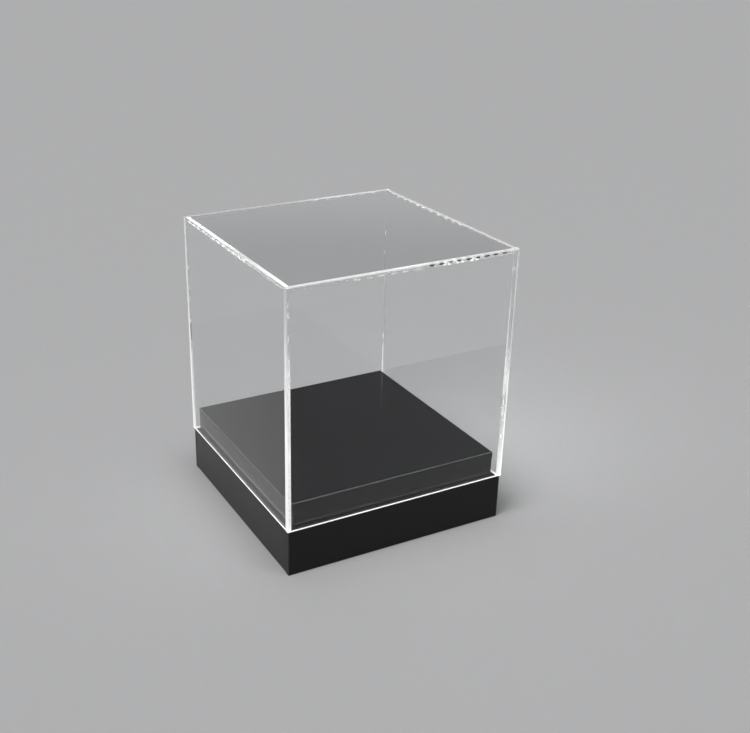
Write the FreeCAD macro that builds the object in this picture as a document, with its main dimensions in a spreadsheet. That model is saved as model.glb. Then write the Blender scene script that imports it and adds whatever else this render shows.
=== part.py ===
import FreeCAD, Part
import os

import Sketcher
from FreeCAD import Placement, Rotation, Vector

# Acrylic display cube: a clear five-sided cover that stands on the ledge of a stepped
# black base and lifts straight off. Every piece is flat acrylic sheet, cut and bonded.
#
# Millimetres, +Z up. The origin is the centre of the base's underside, the front is -Y
# and the right is +X. In all three boxes (cover, riser, skirt) the front and back sheets
# run the full width and the left and right sheets stand between them. The cover's top
# fits between its four walls, flush with their upper ends.

SIZES = "Sizes"

DRIVING_DIMENSIONS = (
    ("cover_width", 100.0),  # outside width and depth of the square cover
    ("cover_height", 100.0),  # outside height of the cover
    ("cover_sheet", 2.0),  # clear sheet thickness
    ("cover_clearance", 1.5),  # play on each side between the riser and the cover
    ("base_sheet", 3.0),  # black sheet thickness
    ("skirt_height", 20.0),  # height of the ledge that the cover stands on
    ("riser_rise", 11.0),  # height of the deck above that ledge
    ("seat_gap", 0.05),  # air under the cover's sawn foot where it stands on the ledge
    ("bond_line", 0.05),  # cement film between two bonded sheets
    ("edge_break", 0.25),  # chamfer on the arrises that a hand can touch
)


def size(alias):
    """Expression for one cell of the sheet."""
    return f"{SIZES}.{alias}"


SHEET_AND_BOND = f"({size('base_sheet')} + {size('bond_line')})"
RISER_WIDTH = f"({size('cover_width')} - 2 * ({size('cover_sheet')} + {size('cover_clearance')}))"
SKIRT_WIDTH = f"({RISER_WIDTH} + 2 * {SHEET_AND_BOND})"
DECK_TOP = f"({size('skirt_height')} + {size('riser_rise')})"

# name, outward direction, turn about Z from the front, does it run the full width
SIDES = (
    ("front", (0, -1), 0, True),
    ("right", (1, 0), 90, False),
    ("back", (0, 1), 180, True),
    ("left", (-1, 0), 270, False),
)

RIMS = ("top", "bottom")
CORNERS = ("left", "right")
ON_THE_SAME_LINE = 1e-6
STAND_UP = Rotation(Vector(1, 0, 0), 90)
LIE_FLAT = Rotation()


def make_sizes(doc):
    """The spreadsheet of driving dimensions: a name, and a number with that alias."""
    sheet = doc.addObject("Spreadsheet::Sheet", SIZES)
    for row, (alias, value) in enumerate(DRIVING_DIMENSIONS, start=1):
        sheet.set(f"A{row}", alias)
        sheet.set(f"B{row}", str(value))
        sheet.setAlias(f"B{row}", alias)
    doc.recompute()
    return sheet


def make_outline(body, length, height):
    """A rectangle on the body's XY plane, centred on its origin."""
    plane = next(feature for feature in body.Origin.OriginFeatures if feature.Role == "XY_Plane")
    sketch = body.newObject("Sketcher::SketchObject", f"{body.Name}_outline")
    sketch.AttachmentSupport = (plane, [""])
    sketch.MapMode = "FlatFace"
    corners = [Vector(-10, -10, 0), Vector(10, -10, 0), Vector(10, 10, 0), Vector(-10, 10, 0)]
    for number, corner in enumerate(corners):
        sketch.addGeometry(Part.LineSegment(corner, corners[(number + 1) % 4]))
    for number in range(4):
        sketch.addConstraint(Sketcher.Constraint("Coincident", number, 2, (number + 1) % 4, 1))
    for direction, line in (("Horizontal", 0), ("Vertical", 1), ("Horizontal", 2), ("Vertical", 3)):
        sketch.addConstraint(Sketcher.Constraint(direction, line))
    # the origin lies midway between two opposite corners
    sketch.addConstraint(Sketcher.Constraint("Symmetric", 0, 1, 2, 1, -1, 1))
    along = sketch.addConstraint(Sketcher.Constraint("DistanceX", 0, 1, 0, 2, 20.0))
    across = sketch.addConstraint(Sketcher.Constraint("DistanceY", 1, 1, 1, 2, 20.0))
    sketch.setExpression(f"Constraints[{along}]", length)
    sketch.setExpression(f"Constraints[{across}]", height)
    return sketch


def arris_names(shape, sides):
    """The edges round the sheet's outer face (its highest Z) that lie on the given sides."""
    box = shape.BoundBox
    names = []
    for number, edge in enumerate(shape.Edges, start=1):
        middle = edge.CenterOfMass
        if abs(middle.z - box.ZMax) > ON_THE_SAME_LINE:
            continue
        offsets = {
            "left": middle.x - box.XMin,
            "right": box.XMax - middle.x,
            "bottom": middle.y - box.YMin,
            "top": box.YMax - middle.y,
        }
        if any(offsets[side] < ON_THE_SAME_LINE for side in sides):
            names.append(f"Edge{number}")
    return names


def make_sheet(doc, label, length, height, thickness, rotation, position, exposed):
    """One sheet: an outline padded to the sheet's thickness, with its exposed arrises broken.

    The outer face is the padded end. The position is that of the middle of the inner face.
    """
    body = doc.addObject("PartDesign::Body", label)
    outline = make_outline(body, length, height)
    pad = body.newObject("PartDesign::Pad", f"{label}_pad")
    pad.Profile = outline
    pad.setExpression("Length", thickness)
    doc.recompute()
    if exposed:
        chamfer = body.newObject("PartDesign::Chamfer", f"{label}_edge_break")
        chamfer.Base = (pad, arris_names(pad.Shape, exposed))
        chamfer.setExpression("Size", size("edge_break"))
    body.Placement = Placement(Vector(), rotation)
    for axis, expression in zip("xyz", position):
        body.setExpression(f"Placement.Base.{axis}", expression)
    return body


def make_walls(doc, label, width, thickness, foot, height, exposed):
    """The four upright sheets of one square box, with the sides named in exposed left bare."""
    bodies = []
    for side, (out_x, out_y), turn, full_width in SIDES:
        length = width if full_width else f"{width} - 2 * ({thickness} + {size('bond_line')})"
        bare = [edge for edge in exposed if full_width or edge not in CORNERS]
        reach = f"({width} / 2 - {thickness})"
        position = (f"{out_x} * {reach}", f"{out_y} * {reach}", f"{foot} + {height} / 2")
        rotation = Rotation(Vector(0, 0, 1), turn).multiply(STAND_UP)
        bodies.append(make_sheet(doc, label.format(side), length, height, thickness,
                                 rotation, position, bare))
    return bodies


def make_cover(doc):
    """Four walls on the ledge, and a top between them at their upper ends."""
    width = size("cover_width")
    sheet = size("cover_sheet")
    height = size("cover_height")
    foot = f"({size('skirt_height')} + {size('seat_gap')})"
    walls = make_walls(doc, "cover_{}_panel", width, sheet, foot, height, RIMS + CORNERS)
    span = f"{width} - 2 * ({sheet} + {size('bond_line')})"
    position = ("0", "0", f"{foot} + {height} - {sheet}")
    top = make_sheet(doc, "cover_top_panel", span, span, sheet, LIE_FLAT, position, ())
    return walls + [top]


def make_base(doc):
    """The riser's four walls with the deck on top, and the skirt bonded round their foot."""
    sheet = size("base_sheet")
    riser = make_walls(doc, "riser_{}_wall", RISER_WIDTH, sheet, "0",
                       f"({DECK_TOP} - {SHEET_AND_BOND})", CORNERS)
    skirt = make_walls(doc, "skirt_{}_strip", SKIRT_WIDTH, sheet, "0",
                       size("skirt_height"), RIMS + CORNERS)
    position = ("0", "0", f"{DECK_TOP} - {sheet}")
    deck = make_sheet(doc, "deck_panel", RISER_WIDTH, RISER_WIDTH, sheet, LIE_FLAT, position,
                      RIMS + CORNERS)
    return riser + skirt + [deck]


def check(doc, bodies):
    """Stop unless every object computed and every sub-part is one valid solid."""
    for item in doc.Objects:
        if "Invalid" in item.State or "Error" in item.State:
            raise RuntimeError(f"{item.Name} failed: {item.State}")
    for body in bodies:
        if body.Shape.isNull() or not body.Shape.isValid() or len(body.Shape.Solids) != 1:
            raise RuntimeError(f"{body.Label} is not one valid solid")


def main():
    doc = FreeCAD.newDocument("display_cube")
    make_sizes(doc)
    bodies = make_base(doc) + make_cover(doc)
    doc.recompute()
    check(doc, bodies)
    os.makedirs("parts", exist_ok=True)
    for body in bodies:
        body.Shape.exportStep(f"parts/{body.Label}.step")
        box = body.Shape.BoundBox
        print(f"{body.Label:20s} volume {body.Shape.Volume:9.1f}  "
              f"x {box.XMin:7.2f} {box.XMax:7.2f}  y {box.YMin:7.2f} {box.YMax:7.2f}  "
              f"z {box.ZMin:7.2f} {box.ZMax:7.2f}")


main()
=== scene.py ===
import math
import random
from collections import namedtuple

import bmesh
import bpy
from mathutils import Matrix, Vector


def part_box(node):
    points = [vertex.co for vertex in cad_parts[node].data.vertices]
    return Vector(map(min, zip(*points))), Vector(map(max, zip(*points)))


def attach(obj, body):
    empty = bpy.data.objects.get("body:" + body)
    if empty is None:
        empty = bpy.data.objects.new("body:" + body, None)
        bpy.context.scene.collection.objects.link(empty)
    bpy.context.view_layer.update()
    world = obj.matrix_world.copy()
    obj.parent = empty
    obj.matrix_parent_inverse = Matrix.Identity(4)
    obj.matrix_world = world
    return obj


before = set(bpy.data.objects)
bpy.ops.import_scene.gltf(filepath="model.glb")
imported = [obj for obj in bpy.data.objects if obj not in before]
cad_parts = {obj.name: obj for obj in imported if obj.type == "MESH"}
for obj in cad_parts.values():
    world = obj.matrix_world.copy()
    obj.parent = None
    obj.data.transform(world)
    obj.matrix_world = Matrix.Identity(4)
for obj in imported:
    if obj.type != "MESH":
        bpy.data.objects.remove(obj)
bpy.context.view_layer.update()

# The looks of an acrylic display cube: the clear sheets of its cover, with sawn, buffed and
# bonded ends and air bubbles in the cement of the joints, and the gloss black sheets of its base.

MM = 0.001

LEFT, RIGHT = (-1, 0, 0), (1, 0, 0)
FRONT, BACK = (0, -1, 0), (0, 1, 0)
DOWN, UP = (0, 0, -1), (0, 0, 1)
ALL_SIDES = (LEFT, RIGHT, FRONT, BACK, DOWN, UP)

# ---------------------------------------------------------------- camera

CAMERA_AZIMUTH = -26.6  # degrees; negative stands to the left of the front
CAMERA_ELEVATION = 24.1
CAMERA_DISTANCE = 453.8 * MM
CAMERA_AIM = Vector((-17.6, 0.0, 64.0)) * MM
CAMERA_LENS = 52.1  # mm, on a sensor of the next width
CAMERA_SENSOR = 36.0
CAMERA_SHIFT = 0.0933  # of the picture's width


def make_camera():
    data = bpy.data.cameras.new("camera")
    data.sensor_width = CAMERA_SENSOR
    data.lens = CAMERA_LENS
    data.shift_x = CAMERA_SHIFT
    data.clip_start = 0.01
    camera = bpy.data.objects.new("camera", data)
    bpy.context.scene.collection.objects.link(camera)
    azimuth = math.radians(CAMERA_AZIMUTH)
    elevation = math.radians(CAMERA_ELEVATION)
    back = Vector((
        math.sin(azimuth) * math.cos(elevation),
        -math.cos(azimuth) * math.cos(elevation),
        math.sin(elevation),
    ))
    camera.location = CAMERA_AIM + back * CAMERA_DISTANCE
    camera.rotation_euler = (-back).to_track_quat("-Z", "Y").to_euler()
    bpy.context.scene.camera = camera


# ---------------------------------------------------------------- node helpers

def new_material(name):
    """A material with a node tree that holds only its output."""
    material = bpy.data.materials.new(name)
    material.use_nodes = True
    tree = material.node_tree
    tree.nodes.clear()
    output = tree.nodes.new("ShaderNodeOutputMaterial")
    return material, tree, output


def add(tree, kind, **settings):
    """A new node. A setting goes to the input of that name, or else to the property."""
    node = tree.nodes.new(kind)
    sockets = {socket.name.lower(): socket for socket in node.inputs}
    for key, value in settings.items():
        name = key.replace("_", " ")
        if name in sockets:
            sockets[name].default_value = value
        else:
            setattr(node, key, value)
    return node


def math_node(tree, operation, first, second):
    """The result of a Math node; each value is a number or another node's output."""
    node = add(tree, "ShaderNodeMath", operation=operation)
    for socket, value in zip(node.inputs, (first, second)):
        if isinstance(value, (int, float)):
            socket.default_value = value
        else:
            tree.links.new(value, socket)
    return node.outputs[0]


def ramp(tree, value, low, high, to_low=0.0, to_high=1.0):
    """The stretch of value from low to high, mapped smoothly to the one from to_low to to_high."""
    node = add(tree, "ShaderNodeMapRange", interpolation_type="SMOOTHSTEP")
    for name, number in (("From Min", low), ("From Max", high), ("To Min", to_low), ("To Max", to_high)):
        node.inputs[name].default_value = number
    tree.links.new(value, node.inputs["Value"])
    return node.outputs["Result"]


def facing(tree, normal, directions, low=0.45, high=0.6):
    """1 where the surface faces one of the directions.

    An arris broken at 45 degrees beside such a face has a cosine of 0.71, so it counts as well,
    unless low and high are above that.
    """
    most = None
    for direction in directions:
        dot = add(tree, "ShaderNodeVectorMath", operation="DOT_PRODUCT")
        tree.links.new(normal, dot.inputs[0])
        dot.inputs[1].default_value = direction
        cosine = dot.outputs["Value"]
        most = cosine if most is None else math_node(tree, "MAXIMUM", most, cosine)
    return ramp(tree, most, low, high)


def stretched_noise(tree, place, waves, detail=2.0):
    """Noise from 0 to 1 with so many waves per metre along each axis."""
    mapping = add(tree, "ShaderNodeMapping", scale=waves)
    tree.links.new(place, mapping.inputs["Vector"])
    noise = add(tree, "ShaderNodeTexNoise", scale=1.0, detail=detail, roughness=0.5)
    tree.links.new(mapping.outputs[0], noise.inputs["Vector"])
    return noise.outputs["Fac"]


def even_noise(tree, place, waves, detail=2.0):
    """Noise from 0 to 1 with so many waves per metre in every direction."""
    return stretched_noise(tree, place, (waves, waves, waves), detail)


def dust(tree, place, spacing, radius, share):
    """1 on specks of about this radius, one in each cell of this spacing, kept in a share of them."""
    cells = add(tree, "ShaderNodeTexVoronoi", scale=1 / spacing)
    tree.links.new(place, cells.inputs["Vector"])
    inner, outer = 0.6 * radius / spacing, 1.2 * radius / spacing
    speck = ramp(tree, cells.outputs["Distance"], inner, outer, 1.0, 0.0)
    split = add(tree, "ShaderNodeSeparateColor")
    tree.links.new(cells.outputs["Color"], split.inputs[0])
    kept = ramp(tree, split.outputs[0], share, share + 0.01, 1.0, 0.0)
    return math_node(tree, "MULTIPLY", speck, kept)


# ---------------------------------------------------------------- materials

ACRYLIC_IOR = 1.49
CLEAR_TINT = (0.985, 0.99, 0.99, 1.0)
CLEAR_MIRROR = (0.5, 0.5, 0.5, 1.0)  # half of what acrylic mirrors when it is seen square on
CLEAR_SHADOW = (0.955, 0.957, 0.957, 1.0)  # what one face lets through of the light it shades
FROST_AND_GLOW_WHITE = (0.96, 0.955, 0.94, 1.0)
BLACK = (0.0025, 0.0025, 0.003, 1.0)
BLACK_MIRROR = 0.3  # where 0.5 is all that acrylic mirrors
# grey of the broken arrises: partly a real worn edge, partly a painted highlight
WORN_AND_HIGHLIGHT_GREY = (0.12, 0.12, 0.12, 1.0)
# the deck's arrises get the most, as a painted highlight along them
DECK_WEAR_AND_HIGHLIGHT = 0.45
WALL_WEAR_AND_HIGHLIGHT = 0.1

# How an end of a clear sheet is finished: how white it is at the cover's foot and at its top, its
# roughness, and the heights in millimetres between which the first white fades to the second. The white
# is partly the real frost of a cut or bonded end and partly painted light: a painted glow that grows
# towards the foot, and painted shade on ends that catch less light.
Finish = namedtuple("Finish", "foot_white top_white roughness fade_from fade_to")
SAWN = Finish(0.96, 0.3, 0.3, 60, 95)
SAWN_DULL = Finish(0.96, 0.4, 0.3, 60, 95)
SAWN_CLEAN = Finish(0.96, 0.6, 0.3, 60, 95)
BUFFED_HIGH = Finish(0.96, 0.22, 0.3, 60, 95)
BUFFED_LOW = Finish(0.96, 0.2, 0.3, 42, 68)
# painted shade: the side walls' feet are kept dull, as less light reaches them
PAINTED_SHADE_FOOT = Finish(0.25, 0.2, 0.25, 60, 95)
POLISHED = Finish(0.1, 0.08, 0.1, 60, 95)
PAINTED_GLOW_BOND_HIGH = Finish(0.85, 0.0, 0.1, 60, 85)  # painted glow: whiter towards the foot, clear at the top
# painted glow as above, fading lower down
PAINTED_GLOW_BOND_LOW = Finish(0.85, 0.0, 0.1, 42, 68)
FULL_BOND = Finish(0.0, 0.0, 0.02, 60, 95)
HAZY_BOND = Finish(0.05, 0.05, 0.25, 60, 95)
WAVY_BOND = Finish(0.02, 0.02, 0.1, 60, 95)


def clear_acrylic(name, ends):
    """Polished clear sheet; ends maps a finish to the sides on which the sheet ends that way. The white
    of the ends is partly real frost and partly painted glow and painted shade.
    """
    material, tree, output = new_material(name)
    coordinates = add(tree, "ShaderNodeTexCoord")
    place = coordinates.outputs["Object"]
    normal = coordinates.outputs["Normal"]
    split = add(tree, "ShaderNodeSeparateXYZ")
    tree.links.new(place, split.inputs[0])
    waver = math_node(tree, "MULTIPLY", even_noise(tree, place, 60), 24 * MM)
    height = math_node(tree, "ADD", split.outputs["Z"], waver)
    roughness = ramp(tree, even_noise(tree, place, 30), 0.45, 0.75, 0.0, 0.02)
    specks = dust(tree, place, spacing=6 * MM, radius=0.16 * MM, share=0.3)
    white = math_node(tree, "MULTIPLY", specks, 0.35)
    saw_marks = ramp(tree, even_noise(tree, place, 900), 0.3, 0.6, 0.85, 1.0)
    for finish, sides in ends.items():
        cut = facing(tree, normal, sides)
        # painted glow: the ends are whiter towards the foot, where light gathers in the sheet; the rest
        # of their white is real frost
        frost_and_painted_glow = ramp(tree, height, finish.fade_from * MM, finish.fade_to * MM,
                    finish.foot_white, finish.top_white)
        shade = math_node(tree, "MULTIPLY", saw_marks, frost_and_painted_glow)
        white = math_node(tree, "MAXIMUM", white, math_node(tree, "MULTIPLY", cut, shade))
        frosting = math_node(tree, "MULTIPLY", cut, finish.roughness)
        roughness = math_node(tree, "ADD", roughness, frosting)
    glassy = add(tree, "ShaderNodeBsdfPrincipled", base_color=CLEAR_TINT, ior=ACRYLIC_IOR,
                 transmission_weight=1.0, specular_tint=CLEAR_MIRROR)
    tree.links.new(roughness, glassy.inputs["Roughness"])
    # white shader for dust specks and frosted ends; on the ends it also carries the painted glow
    sawn = add(tree, "ShaderNodeBsdfPrincipled", base_color=FROST_AND_GLOW_WHITE, ior=ACRYLIC_IOR,
               roughness=0.4)
    seen = add(tree, "ShaderNodeMixShader")
    tree.links.new(white, seen.inputs[0])
    tree.links.new(glassy.outputs[0], seen.inputs[1])
    tree.links.new(sawn.outputs[0], seen.inputs[2])
    shadow = add(tree, "ShaderNodeBsdfTransparent", color=CLEAR_SHADOW)
    light_path = add(tree, "ShaderNodeLightPath")
    mix = add(tree, "ShaderNodeMixShader")
    tree.links.new(light_path.outputs["Is Shadow Ray"], mix.inputs[0])
    tree.links.new(seen.outputs[0], mix.inputs[1])
    tree.links.new(shadow.outputs[0], mix.inputs[2])
    tree.links.new(mix.outputs[0], output.inputs["Surface"])
    return material


def black_acrylic(name, sawn_sides, wear_and_highlight):
    """Gloss black sheet with faint hairlines and dust; its ends on the sawn sides are satin.

    Its broken arrises are painted paler, in the measure that wear_and_highlight gives from 0 to 1:
    partly a real worn edge, partly a painted highlight.
    """
    material, tree, output = new_material(name)
    coordinates = add(tree, "ShaderNodeTexCoord")
    place = coordinates.outputs["Object"]
    normal = coordinates.outputs["Normal"]
    cut = facing(tree, normal, sawn_sides)
    flat = facing(tree, normal, ALL_SIDES, 0.75, 0.9)
    arris = math_node(tree, "SUBTRACT", 1.0, flat)
    hairlines = ramp(tree, stretched_noise(tree, place, (60, 2500, 2500), 0.0), 0.62, 0.78, 0.0, 0.08)
    smudges = ramp(tree, even_noise(tree, place, 35), 0.4, 0.8, 0.03, 0.09)
    roughness = math_node(tree, "ADD", smudges, hairlines)
    satin = math_node(tree, "MULTIPLY", cut, 0.25)
    roughness = math_node(tree, "MAXIMUM", roughness, satin)
    # paler arrises: partly a real worn edge, partly a painted highlight
    scraped_and_highlight = ramp(tree, even_noise(tree, place, 150), 0.3, 0.6, 0.6 * wear_and_highlight, wear_and_highlight)
    scraped_and_highlight = math_node(tree, "MULTIPLY", arris, scraped_and_highlight)
    specks = dust(tree, place, spacing=5 * MM, radius=0.14 * MM, share=0.3)
    specks = math_node(tree, "MULTIPLY", specks, 0.5)
    dust_wear_and_highlight = math_node(tree, "MAXIMUM", specks, scraped_and_highlight)
    tint = add(tree, "ShaderNodeMix", data_type="RGBA")
    factor, black, pale = tint.inputs[0], tint.inputs[6], tint.inputs[7]
    tree.links.new(dust_wear_and_highlight, factor)
    black.default_value = BLACK
    pale.default_value = WORN_AND_HIGHLIGHT_GREY
    shader = add(tree, "ShaderNodeBsdfPrincipled", ior=ACRYLIC_IOR, specular_ior_level=BLACK_MIRROR)
    tree.links.new(roughness, shader.inputs["Roughness"])
    tree.links.new(tint.outputs[2], shader.inputs["Base Color"])
    tree.links.new(shader.outputs[0], output.inputs["Surface"])
    return material


def bubble_painted_light(name, painted_tone):
    """An air pocket in the cement, coloured with painted light: a pale colour paints the light it
    reflects in some joints, a dark one paints shade in others.
    """
    material, tree, output = new_material(name)
    coordinates = add(tree, "ShaderNodeTexCoord")
    shader = add(tree, "ShaderNodeBsdfPrincipled", base_color=(painted_tone, painted_tone, 0.99 * painted_tone, 1.0),
                 specular_ior_level=0.1)
    mottle = even_noise(tree, coordinates.outputs["Object"], 800)
    tree.links.new(ramp(tree, mottle, 0.3, 0.7, 0.3, 0.6), shader.inputs["Roughness"])
    tree.links.new(shader.outputs[0], output.inputs["Surface"])
    return material


def dress_sheets():
    """Clear acrylic on the cover and black acrylic on the base, made for how each sheet is cut, with
    painted glow and shade on the clear ends and a painted highlight on the black arrises.
    """
    finishes = {
        "cover_front_panel": clear_acrylic("clear_acrylic_front", {
            SAWN: (UP, DOWN), BUFFED_HIGH: (LEFT,), BUFFED_LOW: (RIGHT,)}),
        "cover_back_panel": clear_acrylic("clear_acrylic_back", {
            SAWN_DULL: (UP,), SAWN_CLEAN: (LEFT,), POLISHED: (DOWN, RIGHT)}),
        "cover_left_panel": clear_acrylic("clear_acrylic_left", {
            SAWN: (UP,), PAINTED_SHADE_FOOT: (DOWN,), PAINTED_GLOW_BOND_HIGH: (FRONT,), FULL_BOND: (BACK,)}),
        "cover_right_panel": clear_acrylic("clear_acrylic_right", {
            SAWN: (UP,), PAINTED_SHADE_FOOT: (DOWN,), PAINTED_GLOW_BOND_LOW: (FRONT,), FULL_BOND: (BACK,)}),
        "cover_top_panel": clear_acrylic("clear_acrylic_top", {
            HAZY_BOND: (LEFT,), WAVY_BOND: (FRONT,), FULL_BOND: (RIGHT, BACK)}),
        "deck_panel": black_acrylic("black_acrylic_flat", (LEFT, RIGHT, FRONT, BACK), DECK_WEAR_AND_HIGHLIGHT),
    }
    black_full = black_acrylic("black_acrylic_full_wall", (LEFT, RIGHT, UP, DOWN), WALL_WEAR_AND_HIGHLIGHT)
    black_between = black_acrylic("black_acrylic_wall_between", (FRONT, BACK, UP, DOWN), WALL_WEAR_AND_HIGHLIGHT)
    for side in ("front", "back"):
        finishes[f"riser_{side}_wall"] = finishes[f"skirt_{side}_strip"] = black_full
    for side in ("left", "right"):
        finishes[f"riser_{side}_wall"] = finishes[f"skirt_{side}_strip"] = black_between
    for node, finish in finishes.items():
        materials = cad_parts[node].data.materials
        materials.clear()
        materials.append(finish)


# ---------------------------------------------------------------- cement bubbles

BUBBLE_THICKNESS = 0.1 * MM  # twice the cement's, so that a bubble beds into both sheets
HALF_BOND_LINE = 0.025 * MM  # from a sheet's face to the middle of the cement beside it
# colours of the bubbles: the dark one is painted shade, the pale one a painted reflection
PAINTED_SHADE_TONE = 0.1
PAINTED_REFLECTION_TONE = 0.98
TOP_SHARE = 0.95
CORNER_SHARE = 0.3
CORNER_PITCH = 5 * MM
CORNER_HEIGHT = 0.6 * MM
HALF_SHEET = 1.0 * MM


def add_bubble(mesh, middle, along, across, thin, length, width):
    """Adds an ellipsoid squeezed flat between two sheets."""
    made = bmesh.ops.create_icosphere(mesh, subdivisions=2, radius=0.5)
    for vertex in made["verts"]:
        x, y, z = vertex.co
        vertex.co = middle + along * (x * length) + across * (y * width) + thin * (z * BUBBLE_THICKNESS)


def cement_bubbles(name, start, end, across, pitch, height, share, rng, finish):
    """A row of bubbles in the cement of one joint, from start to end, each about height across.

    Only a share of the places in the row holds a bubble.
    """
    mesh = bmesh.new()
    along = (end - start).normalized()
    thin = along.cross(across)
    total = (end - start).length
    distance = 0.0
    while True:
        length = rng.uniform(0.5, 0.65) * pitch
        if distance + length > total:
            break
        if rng.random() < share:
            width = rng.uniform(0.75, 1.1) * height
            middle = start + along * (distance + length / 2) + across * rng.uniform(-0.15, 0.15) * MM
            add_bubble(mesh, middle, along, across, thin, length, width)
        distance += length + rng.uniform(0.35, 0.5) * pitch
    data = bpy.data.meshes.new(name)
    mesh.to_mesh(data)
    mesh.free()
    for polygon in data.polygons:
        polygon.use_smooth = True
    piece = bpy.data.objects.new(name, data)
    bpy.context.scene.collection.objects.link(piece)
    data.materials.append(finish)
    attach(piece, "cover")


def make_bubbles():
    """Bubbles in the cement round the top sheet and down the four corners."""
    rng = random.Random(7)
    # pale bubbles paint reflected light, dark ones paint shade
    bright = bubble_painted_light("bubble_painted_reflection", PAINTED_REFLECTION_TONE)
    dark = bubble_painted_light("bubble_painted_shade", PAINTED_SHADE_TONE)
    low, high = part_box("cover_top_panel")
    seam = high.x + HALF_BOND_LINE
    # Side, the corners it runs between, the stretch with bubbles, and in millimetres the depth below the
    # top, the pitch and the height; then the finish, a painted reflection or painted shade.
    top_rows = (
        ("front", (low.x, -seam), (high.x, -seam), (0.6, 0.97), 0.95, 4.3, 0.85, dark),
        ("back", (low.x, seam), (high.x, seam), (0.6, 0.95), 1.0, 6.0, 0.6, bright),
        ("left", (-seam, high.y), (-seam, low.y), (0.02, 0.68), 1.2, 5.2, 1.2, bright),
        ("right", (seam, high.y), (seam, low.y), (0.1, 0.7), 0.8, 5.4, 1.2, bright),
    )
    for side, corner, far_corner, stretch, depth, pitch, height, finish in top_rows:
        row_z = high.z - depth * MM
        near, far = Vector((*corner, row_z)), Vector((*far_corner, row_z))
        start, end = (near.lerp(far, part) for part in stretch)
        cement_bubbles(f"top_bubbles_{side}", start, end, Vector(UP), pitch * MM, height * MM,
                       TOP_SHARE, rng, finish)
    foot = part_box("cover_left_panel")[0].z
    # corner, which way it lies along X and Y, and the length of its row
    corner_rows = (
        ("front_left", -1, -1, 40 * MM),
        ("front_right", 1, -1, 40 * MM),
        ("back_right", 1, 1, 92 * MM),
        ("back_left", -1, 1, 92 * MM),
    )
    for corner, side_x, side_y, length in corner_rows:
        start = Vector((side_x * (seam + HALF_SHEET), side_y * seam, foot + 2 * MM))
        end = start + Vector(UP) * length
        cement_bubbles(f"corner_bubbles_{corner}", start, end, Vector(RIGHT), CORNER_PITCH,
                       CORNER_HEIGHT, CORNER_SHARE, rng, bright)


# ---------------------------------------------------------------- floor, light

FLOOR_HALF_WIDTH = 40.0
FLOOR_GREY = (0.33, 0.33, 0.334, 1.0)
STUDIO_WHITE = (0.95, 0.97, 1.0, 1.0)
HORIZON_GLOW = 0.445  # as bright as the far floor, up to the first of the next two elevations
CEILING_GLOW = 0.14  # from the second of them upwards
GLOW_ELEVATIONS = (14, 19)


def make_floor():
    half = FLOOR_HALF_WIDTH
    mesh = bpy.data.meshes.new("floor")
    corners = [(-half, -half, 0), (half, -half, 0), (half, half, 0), (-half, half, 0)]
    mesh.from_pydata(corners, [], [(0, 1, 2, 3)])
    floor = bpy.data.objects.new("floor", mesh)
    bpy.context.scene.collection.objects.link(floor)
    material, tree, output = new_material("floor_grey")
    coordinates = add(tree, "ShaderNodeTexCoord")
    place = coordinates.outputs["Object"]
    shader = add(tree, "ShaderNodeBsdfPrincipled", base_color=FLOOR_GREY, specular_ior_level=0.2)
    roughness = ramp(tree, even_noise(tree, place, 400, 4.0), 0.3, 0.7, 0.75, 0.9)
    tree.links.new(roughness, shader.inputs["Roughness"])
    bump = add(tree, "ShaderNodeBump", strength=0.15, distance=0.2 * MM)
    tree.links.new(even_noise(tree, place, 900, 3.0), bump.inputs["Height"])
    tree.links.new(bump.outputs[0], shader.inputs["Normal"])
    tree.links.new(shader.outputs[0], output.inputs["Surface"])
    mesh.materials.append(material)


def soft_light(name, azimuth, elevation, spread, strength):
    """A broad, far-off light, even over the whole floor. All angles are in degrees.

    Azimuth 0 stands at the front and a negative one to the left of it, as for the camera.
    """
    data = bpy.data.lights.new(name, "SUN")
    data.angle = math.radians(spread)
    data.energy = strength
    light = bpy.data.objects.new(name, data)
    bpy.context.scene.collection.objects.link(light)
    light.rotation_euler = (math.radians(90 - elevation), 0, math.radians(azimuth))


def make_light():
    soft_light("overhead_light", azimuth=0, elevation=85, spread=90, strength=1.0)
    soft_light("left_light", azimuth=-75, elevation=45, spread=38, strength=3.0)
    soft_light("right_light", azimuth=40, elevation=52, spread=28, strength=0.5)
    world = bpy.data.worlds.new("studio")
    world.use_nodes = True
    tree = world.node_tree
    background = tree.nodes["Background"]
    background.inputs["Color"].default_value = STUDIO_WHITE
    coordinates = add(tree, "ShaderNodeTexCoord")
    split = add(tree, "ShaderNodeSeparateXYZ")
    tree.links.new(coordinates.outputs["Generated"], split.inputs[0])
    low, high = (math.sin(math.radians(elevation)) for elevation in GLOW_ELEVATIONS)
    glow = ramp(tree, split.outputs["Z"], low, high, HORIZON_GLOW, CEILING_GLOW)
    tree.links.new(glow, background.inputs["Strength"])
    bpy.context.scene.world = world


make_camera()
make_floor()
make_light()
dress_sheets()
make_bubbles()

view = bpy.context.scene.view_settings
view.view_transform = "Standard"
cycles = bpy.context.scene.cycles
cycles.max_bounces = 48  # light runs a long way inside the edges of clear sheets
cycles.transmission_bounces = 40
cycles.glossy_bounces = 40
cycles.transparent_max_bounces = 24
